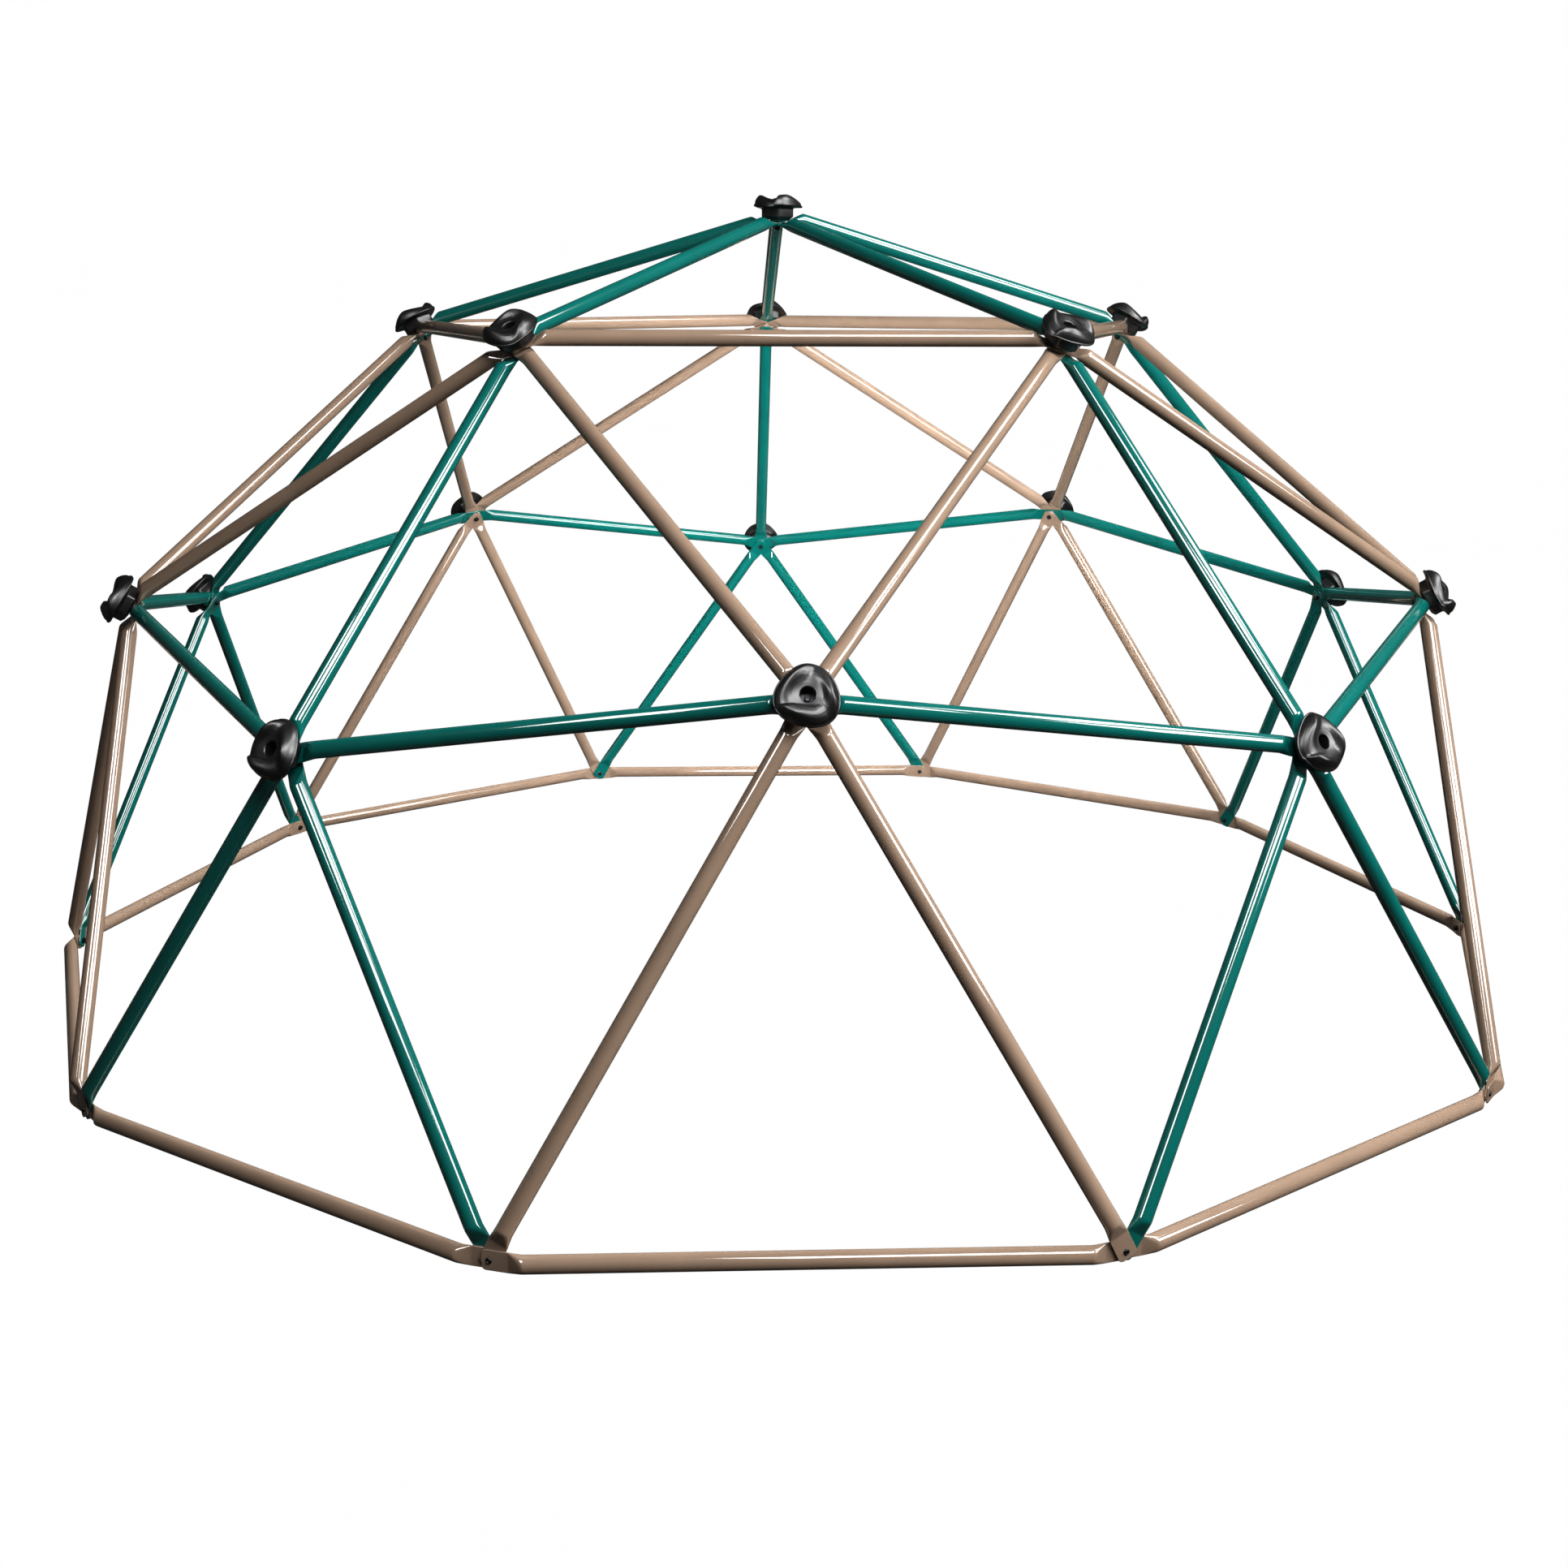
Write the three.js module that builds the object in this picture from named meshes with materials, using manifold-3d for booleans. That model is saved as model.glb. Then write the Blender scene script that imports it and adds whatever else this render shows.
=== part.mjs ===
// Geodesic dome climber: tubes with pressed, bolted ends, and a moulded cap on every joint
// above the ground. Millimetres, +Z up. The origin is on the ground, under the apex.

import * as THREE from "three";
import { mergeVertices } from "three/addons/utils/BufferGeometryUtils.js";
import Module from "manifold-3d";

// --- Driving dimensions -------------------------------------------------------------------

// Every joint's stack of tabs is centred on a sphere of this radius.
const DOME_RADIUS = 1436;

// The tubes, and their pressed ends. The tab lies in the joint's tangent plane, a little
// nearer the dome's inside than the tube's axis.
const TUBE_RADIUS = 13.45;
const TUBE_SIDES = 8;
const TAB_WIDTH = 31.5;
const TAB_THICKNESS = 2.4;
const TAB_EDGE_CHAMFER = 0.6;
const TAB_CORNER = 4.5;
const HOLE_TO_TAB_END = 11.5;
const HOLE_TO_FOLD = 28.7;
const FOLD_TO_ROUND_TUBE = 19;
const TAB_BELOW_TUBE_AXIS = 5.5;
const BOLT_HOLE_RADIUS = 3.9;
const BOLT_HOLE_SIDES = 6;

// Tabs on one bolt lie a hair apart. Two tubes that share a node are sunk into each other.
const STACK_PITCH = 2.7;
const JOINED_SINK = 0.5;

// The lower edges of the lowest tabs stand on the ground.
const BASE_JOINT_HEIGHT = TAB_WIDTH / 2;

// The moulded cap: a hexagonal stem with a tapered foot that fits between the tubes, a wavy
// rim with three lobes, and a deep bore for the bolt's head.
const CAP_SEGMENTS = 18;
const CAP_SEAT_GAP = 0.3;
const STEM_FOOT_RADIUS = 27.5;
const STEM_FOOT_HEIGHT = 5;
const STEM_CORNER_RADIUS = 34;
const STEM_HEIGHT = 21;
const RIM_RADIUS = 49;
const RIM_UNDERSIDE_HEIGHT = 22.5;
const RIM_EDGE_HEIGHT = 27;
const CREST_RADIUS = 35;
const CREST_MEAN_HEIGHT = 43;
const BORE_RADIUS = 11;
const BORE_MOUTH_HEIGHT = 35;
const BORE_FLOOR_HEIGHT = 14;
const CAP_BOLT_HOLE_RADIUS = 4.4;
const PETALS = 3;
const PETAL_WAVE = 4;
const RIM_WAVE = 2;
const PETAL_PHASE = THREE.MathUtils.degToRad(90);
const RIM_LOBE = 4.8;
const RIM_LOBE_ANGLE = THREE.MathUtils.degToRad(78);

const TEAL = new THREE.MeshStandardMaterial({ color: 0x00786a, roughness: 0.25, metalness: 0.2 });
const TAN = new THREE.MeshStandardMaterial({ color: 0xa0826e, roughness: 0.28, metalness: 0.2 });
const BLACK = new THREE.MeshStandardMaterial({ color: 0x0a0b0d, roughness: 0.2, metalness: 0 });

// --- The dome's joints --------------------------------------------------------------------

// The joints are those of an icosahedron with its edges halved and pushed out to a sphere,
// cut at the equator: the apex, five upper joints round it, five corner joints (the
// icosahedron's own corners), five face joints between those, and ten on the ground.
const SECTORS = 5;
const SECTOR_ANGLE = (2 * Math.PI) / SECTORS;
const CORNER_COLATITUDE = Math.atan(2);
const UPPER_COLATITUDE = CORNER_COLATITUDE / 2;
const FACE_COLATITUDE = Math.atan(2 * Math.cos(SECTOR_ANGLE / 2));
const GROUND_COLATITUDE = Math.PI / 2;
const CORNER_AZIMUTH = SECTOR_ANGLE / 4;
const FACE_AZIMUTH = CORNER_AZIMUTH + SECTOR_ANGLE / 2;

const UP = new THREE.Vector3(0, 0, 1);
const EAST = new THREE.Vector3(1, 0, 0);

function direction(colatitude, azimuth) {
  const out = Math.sin(colatitude);
  return new THREE.Vector3(out * Math.cos(azimuth), out * Math.sin(azimuth), Math.cos(colatitude));
}

function wrap(number, count) {
  return (((number - 1) % count) + count) % count + 1;
}

const upper = (number) => `upper_${wrap(number, SECTORS)}`;
const corner = (number) => `corner_${wrap(number, SECTORS)}`;
const face = (number) => `face_${wrap(number, SECTORS)}`;
const ground = (number) => `ground_${wrap(number, 2 * SECTORS)}`;

// Each joint has its outward direction, and its neighbours in the order that their tabs are
// stacked, the outermost first.
function makeJoints() {
  const sectors = Array.from({ length: SECTORS }, (_, k) => k + 1);
  const joints = { apex: { out: UP.clone(), stack: sectors.map(upper) } };
  for (const k of sectors) {
    const turn = (k - 1) * SECTOR_ANGLE;
    joints[upper(k)] = {
      out: direction(UPPER_COLATITUDE, CORNER_AZIMUTH + turn),
      stack: ["apex", upper(k + 1), upper(k - 1), face(k), face(k - 1), corner(k)],
    };
    joints[corner(k)] = {
      out: direction(CORNER_COLATITUDE, CORNER_AZIMUTH + turn),
      stack: [upper(k), face(k), face(k - 1), ground(2 * k - 1), ground(2 * k)],
    };
    joints[face(k)] = {
      out: direction(FACE_COLATITUDE, FACE_AZIMUTH + turn),
      stack: [upper(k), upper(k + 1), corner(k), corner(k + 1), ground(2 * k), ground(2 * k + 1)],
    };
    joints[ground(2 * k - 1)] = {
      out: direction(GROUND_COLATITUDE, turn),
      stack: [face(k - 1), corner(k), ground(2 * k - 2), ground(2 * k)],
    };
    joints[ground(2 * k)] = {
      out: direction(GROUND_COLATITUDE, turn + SECTOR_ANGLE / 2),
      stack: [ground(2 * k + 1), face(k), ground(2 * k - 1), corner(k)],
    };
  }
  return joints;
}

const joints = makeJoints();

function layerOffset(jointName, neighbour) {
  const { stack } = joints[jointName];
  return ((stack.length - 1) / 2 - stack.indexOf(neighbour)) * STACK_PITCH;
}

function jointCentre(jointName) {
  const centre = joints[jointName].out.clone().multiplyScalar(DOME_RADIUS);
  centre.z += BASE_JOINT_HEIGHT;
  return centre;
}

// --- Solids -------------------------------------------------------------------------------

const wasm = await Module();
wasm.setup();

function toSolid(geometry) {
  geometry.deleteAttribute("normal");
  geometry.deleteAttribute("uv");
  const merged = mergeVertices(geometry);
  return new wasm.Manifold(new wasm.Mesh({
    numProp: 3,
    vertProperties: new Float32Array(merged.attributes.position.array),
    triVerts: new Uint32Array(merged.index.array),
  }));
}

function toGeometry(solid) {
  const { vertProperties, triVerts } = solid.getMesh();
  const geometry = new THREE.BufferGeometry();
  geometry.setAttribute("position", new THREE.BufferAttribute(vertProperties, 3));
  geometry.setIndex(new THREE.BufferAttribute(triVerts, 1));
  geometry.computeVertexNormals();
  return geometry;
}

function addPart(name, geometry, material, frame) {
  const mesh = new THREE.Mesh(geometry, material.clone());
  mesh.name = name;
  mesh.applyMatrix4(frame);
  dome.add(mesh);
}

// --- Tubes with pressed ends --------------------------------------------------------------

// A tube's own frame has X along the tube, Z away from the dome's centre, and its origin
// halfway between its two joints.
function tubeFrame(from, to) {
  const start = jointCentre(from);
  const end = jointCentre(to);
  const along = end.clone().sub(start).normalize();
  const outward = joints[from].out.clone().add(joints[to].out).normalize();
  const across = outward.clone().cross(along);
  const frame = new THREE.Matrix4().makeBasis(along, across, outward);
  return frame.setPosition(start.add(end).multiplyScalar(0.5));
}

// The sections of one pressed end, from the tab's end to the start of the round tube, in the
// tube's own frame. side is -1 at the tube's start and 1 at its end.
function pressedEnd(side, halfLength, halfAngle, offset) {
  const normal = new THREE.Vector3(side * Math.sin(halfAngle), 0, Math.cos(halfAngle));
  const inward = new THREE.Vector3(-side * Math.cos(halfAngle), 0, Math.sin(halfAngle));
  const hole = new THREE.Vector3(side * halfLength, 0, 0).addScaledVector(normal, offset);
  const onTab = (distance) => hole.clone().addScaledVector(inward, distance);
  const fold = onTab(HOLE_TO_FOLD);
  const round = fold.clone().add(
    new THREE.Vector3(-side * FOLD_TO_ROUND_TUBE, 0, TAB_BELOW_TUBE_AXIS),
  );
  const sections = [
    { centre: onTab(-HOLE_TO_TAB_END), up: normal, halfWidth: TAB_WIDTH / 2 - TAB_CORNER },
    { centre: onTab(TAB_CORNER - HOLE_TO_TAB_END), up: normal, halfWidth: TAB_WIDTH / 2 },
    { centre: fold, up: normal, halfWidth: TAB_WIDTH / 2 },
    { centre: round, up: UP },
  ];
  return { hole, normal, sections };
}

// A point of a section, in the section's own plane: on the round tube's circle, or on the
// tab's flat rectangle with chamfered edges.
function sectionPoint(section, angle) {
  const across = Math.cos(angle);
  const up = Math.sin(angle);
  if (section.halfWidth === undefined) {
    return [TUBE_RADIUS * across, TUBE_RADIUS * up];
  }
  const onFlatSide = Math.abs(up) > Math.abs(across);
  const inset = onFlatSide ? TAB_EDGE_CHAMFER : 0;
  const thinning = onFlatSide ? 0 : TAB_EDGE_CHAMFER;
  return [
    Math.sign(across) * (section.halfWidth - inset),
    Math.sign(up) * (TAB_THICKNESS / 2 - thinning),
  ];
}

function boltHole(end) {
  const hole = new THREE.CylinderGeometry(
    BOLT_HOLE_RADIUS, BOLT_HOLE_RADIUS, 3 * TAB_THICKNESS, BOLT_HOLE_SIDES,
  );
  const turn = new THREE.Quaternion().setFromUnitVectors(new THREE.Vector3(0, 1, 0), end.normal);
  hole.applyQuaternion(turn);
  hole.translate(end.hole.x, end.hole.y, end.hole.z);
  return toSolid(hole);
}

// One tube, in its own frame: a cylinder whose end rings are pressed into tabs.
// sink moves the tab at the tube's start outward, into the tab of the tube it is joined to.
function tubeSolid(from, to, sink) {
  const halfLength = jointCentre(from).distanceTo(jointCentre(to)) / 2;
  const halfAngle = joints[from].out.angleTo(joints[to].out) / 2;
  const start = pressedEnd(-1, halfLength, halfAngle, layerOffset(from, to) + sink);
  const end = pressedEnd(1, halfLength, halfAngle, layerOffset(to, from));
  const sections = [...start.sections, ...end.sections.toReversed()];
  const lastRing = sections.length - 1;
  const geometry = new THREE.CylinderGeometry(
    TUBE_RADIUS, TUBE_RADIUS, lastRing, TUBE_SIDES, lastRing, false, Math.PI / TUBE_SIDES,
  );
  geometry.rotateZ(-Math.PI / 2);
  const position = geometry.attributes.position;
  for (let i = 0; i < position.count; i += 1) {
    const ring = Math.round(position.getX(i) + lastRing / 2);
    const section = sections[ring];
    const radius = Math.hypot(position.getY(i), position.getZ(i));
    const point = section.centre.clone();
    if (radius > TUBE_RADIUS / 2) {
      const angle = Math.atan2(position.getZ(i), position.getY(i));
      const [across, up] = sectionPoint(section, angle);
      point.y += across;
      point.addScaledVector(section.up, up);
    }
    position.setXYZ(i, point.x, point.y, point.z);
  }
  return toSolid(geometry).subtract(boltHole(start)).subtract(boltHole(end));
}

// One tube, or two that share their starting joint and are joined there.
function addTubes(name, material, from, targets) {
  const home = tubeFrame(from, targets[0]);
  const toHome = home.clone().invert();
  const solids = targets.map((to, index) => {
    const intoHome = toHome.clone().multiply(tubeFrame(from, to));
    return tubeSolid(from, to, index * JOINED_SINK).transform(intoHome.elements);
  });
  const whole = solids.reduce((sum, solid) => sum.add(solid));
  addPart(name, toGeometry(whole), material, home);
}

// --- Moulded caps -------------------------------------------------------------------------

// The cap's closed profile, from the bolt hole out along the seat, up the stem, round the
// rim, over the crest and down the bore.
const CAP_PROFILE = [
  { radius: CAP_BOLT_HOLE_RADIUS, height: 0 },
  { radius: STEM_FOOT_RADIUS, height: 0, hexagonal: true },
  { radius: STEM_CORNER_RADIUS, height: STEM_FOOT_HEIGHT, hexagonal: true },
  { radius: STEM_CORNER_RADIUS, height: STEM_HEIGHT, hexagonal: true },
  { radius: RIM_RADIUS, height: RIM_UNDERSIDE_HEIGHT, wave: RIM_WAVE, lobed: true },
  { radius: RIM_RADIUS, height: RIM_EDGE_HEIGHT, wave: RIM_WAVE, lobed: true },
  { radius: CREST_RADIUS, height: CREST_MEAN_HEIGHT, wave: PETAL_WAVE },
  { radius: BORE_RADIUS, height: BORE_MOUTH_HEIGHT },
  { radius: BORE_RADIUS, height: BORE_FLOOR_HEIGHT },
  { radius: CAP_BOLT_HOLE_RADIUS, height: BORE_FLOOR_HEIGHT },
];

// How far a regular hexagon's side is from its centre, as a share of its corners' distance.
function hexagonShare(angle) {
  const sixth = Math.PI / 3;
  const fromCorner = ((angle % sixth) + sixth) % sixth;
  return Math.cos(sixth / 2) / Math.cos(fromCorner - sixth / 2);
}

// How much the rim is drawn in between its lobes, as a share of its radius.
function lobeShare(angle) {
  const depth = (1 - Math.cos(PETALS * (angle - RIM_LOBE_ANGLE))) / 2;
  return 1 - (RIM_LOBE * depth) / RIM_RADIUS;
}

function capGeometry() {
  const profile = CAP_PROFILE.map(({ radius, height }) => new THREE.Vector2(radius, height));
  profile.push(profile[0].clone());
  const geometry = new THREE.LatheGeometry(profile, CAP_SEGMENTS);
  geometry.rotateX(Math.PI / 2);
  const position = geometry.attributes.position;
  for (let i = 0; i < position.count; i += 1) {
    const ring = (i % profile.length) % CAP_PROFILE.length;
    const { hexagonal, lobed, wave = 0 } = CAP_PROFILE[ring];
    const angle = Math.atan2(position.getY(i), position.getX(i));
    const share = (hexagonal ? hexagonShare(angle) : 1) * (lobed ? lobeShare(angle) : 1);
    const lift = wave * Math.cos(PETALS * angle - PETAL_PHASE);
    position.setXYZ(i, position.getX(i) * share, position.getY(i) * share, position.getZ(i) + lift);
  }
  return toGeometry(toSolid(geometry));
}

// A cap stands on the outermost tab. Its own Y points up the dome.
function addCap(jointName) {
  const { out, stack } = joints[jointName];
  const east = Math.abs(out.z) > 0.999 ? EAST.clone() : UP.clone().cross(out).normalize();
  const north = out.clone().cross(east);
  const frame = new THREE.Matrix4().makeBasis(east, north, out);
  const seat = ((stack.length - 1) / 2) * STACK_PITCH + TAB_THICKNESS / 2 + CAP_SEAT_GAP;
  frame.setPosition(jointCentre(jointName).addScaledVector(out, seat));
  addPart(`hub_cap_${jointName}`, capGeometry(), BLACK, frame);
}

// --- The assembly -------------------------------------------------------------------------

const dome = new THREE.Group();

addCap("apex");
for (let k = 1; k <= SECTORS; k += 1) {
  addCap(upper(k));
  addCap(corner(k));
  addCap(face(k));
  addTubes(`apex_tube_${k}`, TEAL, "apex", [upper(k)]);
  addTubes(`upper_ring_tube_${k}`, TAN, upper(k), [upper(k + 1)]);
  addTubes(`shoulder_tube_${k}`, TEAL, upper(k), [corner(k)]);
  addTubes(`upper_tube_pair_${k}`, TAN, face(k), [upper(k), upper(k + 1)]);
  addTubes(`belt_tube_pair_${k}`, TEAL, corner(k), [face(k), face(k - 1)]);
  addTubes(`teal_leg_pair_${k}`, TEAL, corner(k), [ground(2 * k - 1), ground(2 * k)]);
  addTubes(`tan_leg_pair_${k}`, TAN, face(k), [ground(2 * k), ground(2 * k + 1)]);
  addTubes(`ground_tube_pair_${k}`, TAN, ground(2 * k - 1), [ground(2 * k - 2), ground(2 * k)]);
}

export default dome;
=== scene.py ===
"""Looks of the geodesic dome climber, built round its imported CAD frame. Blender 4.5, metres."""

import math

import bmesh
import bpy
import numpy as np
from mathutils import Matrix, Vector


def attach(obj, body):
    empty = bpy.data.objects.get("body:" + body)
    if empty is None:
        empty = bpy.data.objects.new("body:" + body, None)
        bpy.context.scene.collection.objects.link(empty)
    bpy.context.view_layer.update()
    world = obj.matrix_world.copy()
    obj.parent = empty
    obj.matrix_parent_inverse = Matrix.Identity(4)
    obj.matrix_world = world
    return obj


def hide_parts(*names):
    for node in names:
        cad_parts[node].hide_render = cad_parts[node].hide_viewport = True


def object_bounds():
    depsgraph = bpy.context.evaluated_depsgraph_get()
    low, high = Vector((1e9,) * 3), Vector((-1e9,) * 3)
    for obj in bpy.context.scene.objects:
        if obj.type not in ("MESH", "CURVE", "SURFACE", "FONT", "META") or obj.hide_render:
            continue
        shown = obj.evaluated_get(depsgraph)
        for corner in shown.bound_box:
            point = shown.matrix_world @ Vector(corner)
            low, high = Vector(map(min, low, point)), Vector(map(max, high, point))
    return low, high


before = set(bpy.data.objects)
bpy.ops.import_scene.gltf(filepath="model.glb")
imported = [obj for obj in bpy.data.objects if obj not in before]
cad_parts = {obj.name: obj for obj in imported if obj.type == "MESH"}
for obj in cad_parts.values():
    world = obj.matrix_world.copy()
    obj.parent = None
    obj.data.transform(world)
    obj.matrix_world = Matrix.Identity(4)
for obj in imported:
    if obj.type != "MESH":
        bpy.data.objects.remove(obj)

cad_low, cad_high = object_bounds()

MM = 0.001
BODY = "root"

# --- Sizes that the CAD part has too --------------------------------------------------------

TUBE_RADIUS = 13.45 * MM
TAB_WIDTH = 31.5 * MM
TAB_THICKNESS = 2.4 * MM
HOLE_TO_TAB_END = 11.5 * MM
HOLE_TO_FOLD = 28.7 * MM
FOLD_TO_ROUND_TUBE = 19 * MM
TAB_BELOW_TUBE_AXIS = 5.5 * MM
BOLT_HOLE_RADIUS = 3.9 * MM
STACK_PITCH = 2.7 * MM
CAP_SEAT_GAP = 0.3 * MM
BASE_JOINT_HEIGHT = TAB_WIDTH / 2
DOME_RADIUS = 1436 * MM

# --- The dome's joints ----------------------------------------------------------------------

SECTORS = 5
SECTOR_ANGLE = math.tau / SECTORS
CORNER_COLATITUDE = math.atan(2)
UPPER_COLATITUDE = CORNER_COLATITUDE / 2
FACE_COLATITUDE = math.atan(2 * math.cos(SECTOR_ANGLE / 2))
GROUND_COLATITUDE = math.pi / 2
CORNER_AZIMUTH = SECTOR_ANGLE / 4
FACE_AZIMUTH = CORNER_AZIMUTH + SECTOR_ANGLE / 2
UP = Vector((0, 0, 1))


def direction(colatitude, azimuth):
    out = math.sin(colatitude)
    return Vector((out * math.cos(azimuth), out * math.sin(azimuth), math.cos(colatitude)))


def upper(number):
    return f"upper_{(number - 1) % SECTORS + 1}"


def corner(number):
    return f"corner_{(number - 1) % SECTORS + 1}"


def face(number):
    return f"face_{(number - 1) % SECTORS + 1}"


def ground(number):
    return f"ground_{(number - 1) % (2 * SECTORS) + 1}"


def make_joints():
    """Each joint's outward direction, and its neighbours in the order of their tabs, outermost first."""
    sectors = range(1, SECTORS + 1)
    joints = {"apex": (UP.copy(), [upper(k) for k in sectors])}
    for k in sectors:
        turn = (k - 1) * SECTOR_ANGLE
        joints[upper(k)] = (
            direction(UPPER_COLATITUDE, CORNER_AZIMUTH + turn),
            ["apex", upper(k + 1), upper(k - 1), face(k), face(k - 1), corner(k)],
        )
        joints[corner(k)] = (
            direction(CORNER_COLATITUDE, CORNER_AZIMUTH + turn),
            [upper(k), face(k), face(k - 1), ground(2 * k - 1), ground(2 * k)],
        )
        joints[face(k)] = (
            direction(FACE_COLATITUDE, FACE_AZIMUTH + turn),
            [upper(k), upper(k + 1), corner(k), corner(k + 1), ground(2 * k), ground(2 * k + 1)],
        )
        joints[ground(2 * k - 1)] = (
            direction(GROUND_COLATITUDE, turn),
            [face(k - 1), corner(k), ground(2 * k - 2), ground(2 * k)],
        )
        joints[ground(2 * k)] = (
            direction(GROUND_COLATITUDE, turn + SECTOR_ANGLE / 2),
            [ground(2 * k + 1), face(k), ground(2 * k - 1), corner(k)],
        )
    return joints


JOINTS = make_joints()


def layer_offset(joint, neighbour):
    """How far a neighbour's tab lies outside the middle of the joint's stack."""
    stack = JOINTS[joint][1]
    return ((len(stack) - 1) / 2 - stack.index(neighbour)) * STACK_PITCH


def joint_centre(joint):
    return JOINTS[joint][0] * DOME_RADIUS + UP * BASE_JOINT_HEIGHT


def stack_half_depth(joint):
    """From the middle of a joint's stack to its outermost tab's outer face."""
    return (len(JOINTS[joint][1]) - 1) / 2 * STACK_PITCH + TAB_THICKNESS / 2


def joint_frame(joint):
    """The joint's own frame: Z outward, Y up the dome, and X to the east."""
    out = JOINTS[joint][0]
    east = Vector((1, 0, 0)) if joint == "apex" else UP.cross(out).normalized()
    basis = Matrix((east, out.cross(east), out)).transposed().to_4x4()
    return Matrix.Translation(joint_centre(joint)) @ basis


# --- Materials ------------------------------------------------------------------------------

def new_material(name):
    material = bpy.data.materials.new(name)
    material.use_nodes = True
    tree = material.node_tree
    return material, tree, tree.nodes["Principled BSDF"]


def add_noise(tree, scale, detail):
    """Noise in the object's own coordinates, so that it stays on the piece."""
    coordinates = tree.nodes.new("ShaderNodeTexCoord")
    noise = tree.nodes.new("ShaderNodeTexNoise")
    noise.inputs["Scale"].default_value = scale
    noise.inputs["Detail"].default_value = detail
    tree.links.new(coordinates.outputs["Object"], noise.inputs["Vector"])
    return noise.outputs["Fac"]


def add_ramp(tree, value, stops):
    ramp = tree.nodes.new("ShaderNodeValToRGB")
    elements = ramp.color_ramp.elements
    while len(elements) < len(stops):
        elements.new(1.0)
    for element, (place, colour) in zip(elements, stops):
        element.position = place
        element.color = (*colour, 1.0)
    tree.links.new(value, ramp.inputs["Fac"])
    return ramp.outputs["Color"]


def add_bump(tree, shader, height, strength, distance):
    bump = tree.nodes.new("ShaderNodeBump")
    bump.inputs["Strength"].default_value = strength
    bump.inputs["Distance"].default_value = distance
    tree.links.new(height, bump.inputs["Height"])
    tree.links.new(bump.outputs["Normal"], shader.inputs["Normal"])


def grey(value):
    return (value, value, value)


def powder_coat(name, dark, light):
    """Glossy powder coat: fine orange peel under a clear gloss, and cloudy colour."""
    material, tree, shader = new_material(name)
    clouds = add_noise(tree, scale=9.0, detail=4.0)
    colour = add_ramp(tree, clouds, [(0.35, dark), (0.65, light)])
    tree.links.new(colour, shader.inputs["Base Color"])
    patches = add_noise(tree, scale=60.0, detail=3.0)
    gloss = add_ramp(tree, patches, [(0.3, grey(0.34)), (0.7, grey(0.42))])
    tree.links.new(gloss, shader.inputs["Roughness"])
    shader.inputs["Specular IOR Level"].default_value = 0.03
    shader.inputs["Coat Weight"].default_value = 1.0
    shader.inputs["Coat Roughness"].default_value = 0.07
    shader.inputs["Coat IOR"].default_value = 1.75
    orange_peel = add_noise(tree, scale=120.0, detail=1.0)
    add_bump(tree, shader, orange_peel, strength=0.01, distance=0.05 * MM)
    return material


def moulded_plastic(name):
    """Glossy black moulding, with faint waves left by the mould."""
    material, tree, shader = new_material(name)
    clouds = add_noise(tree, scale=40.0, detail=3.0)
    colour = add_ramp(tree, clouds, [(0.3, grey(0.001)), (0.7, grey(0.002))])
    tree.links.new(colour, shader.inputs["Base Color"])
    patches = add_noise(tree, scale=90.0, detail=3.0)
    gloss = add_ramp(tree, patches, [(0.3, grey(0.33)), (0.7, grey(0.39))])
    tree.links.new(gloss, shader.inputs["Roughness"])
    shader.inputs["Specular IOR Level"].default_value = 0.75
    waves = add_noise(tree, scale=160.0, detail=1.0)
    add_bump(tree, shader, waves, strength=0.03, distance=0.05 * MM)
    return material


def blackened_steel(name):
    """Black oxide steel, with lighter rubbed patches."""
    material, tree, shader = new_material(name)
    rubbing = add_noise(tree, scale=300.0, detail=4.0)
    colour = add_ramp(tree, rubbing, [(0.4, (0.02, 0.02, 0.022)), (0.8, (0.07, 0.07, 0.075))])
    tree.links.new(colour, shader.inputs["Base Color"])
    shader.inputs["Metallic"].default_value = 1.0
    shader.inputs["Roughness"].default_value = 0.42
    grain = add_noise(tree, scale=900.0, detail=2.0)
    add_bump(tree, shader, grain, strength=0.1, distance=0.1 * MM)
    return material


def studio_white(name):
    """Evenly lit white paper, with a faint cloudiness."""
    material, tree, shader = new_material(name)
    tree.nodes.remove(shader)
    glow = tree.nodes.new("ShaderNodeEmission")
    clouds = add_noise(tree, scale=0.6, detail=2.0)
    colour = add_ramp(tree, clouds, [(0.3, grey(0.995)), (0.7, grey(1.0))])
    tree.links.new(colour, glow.inputs["Color"])
    tree.links.new(glow.outputs["Emission"], tree.nodes["Material Output"].inputs["Surface"])
    return material


TEAL = powder_coat("teal_powder_coat", (0.0003, 0.088, 0.075), (0.0003, 0.100, 0.085))
TAN = powder_coat("tan_powder_coat", (0.228, 0.155, 0.108), (0.256, 0.174, 0.121))
BLACK = moulded_plastic("black_moulded_plastic")
STEEL = blackened_steel("black_oxide_steel")

# --- Mesh helpers ---------------------------------------------------------------------------

SHARP_ANGLE = math.radians(32)


def finish_mesh(name, mesh_data, frame_matrix, material):
    """Makes an object of a bmesh: outward faces, smooth shading, and sharp edges kept sharp."""
    bmesh.ops.recalc_face_normals(mesh_data, faces=mesh_data.faces)
    for polygon in mesh_data.faces:
        polygon.smooth = True
    for edge in mesh_data.edges:
        edge.smooth = edge.calc_face_angle(math.pi) < SHARP_ANGLE
    mesh = bpy.data.meshes.new(name)
    mesh_data.to_mesh(mesh)
    mesh_data.free()
    return place_mesh(name, mesh, frame_matrix, material)


def place_mesh(name, mesh, frame_matrix, material):
    mesh.transform(frame_matrix)
    mesh.materials.append(material)
    piece = bpy.data.objects.new(name, mesh)
    bpy.context.scene.collection.objects.link(piece)
    return piece


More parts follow.
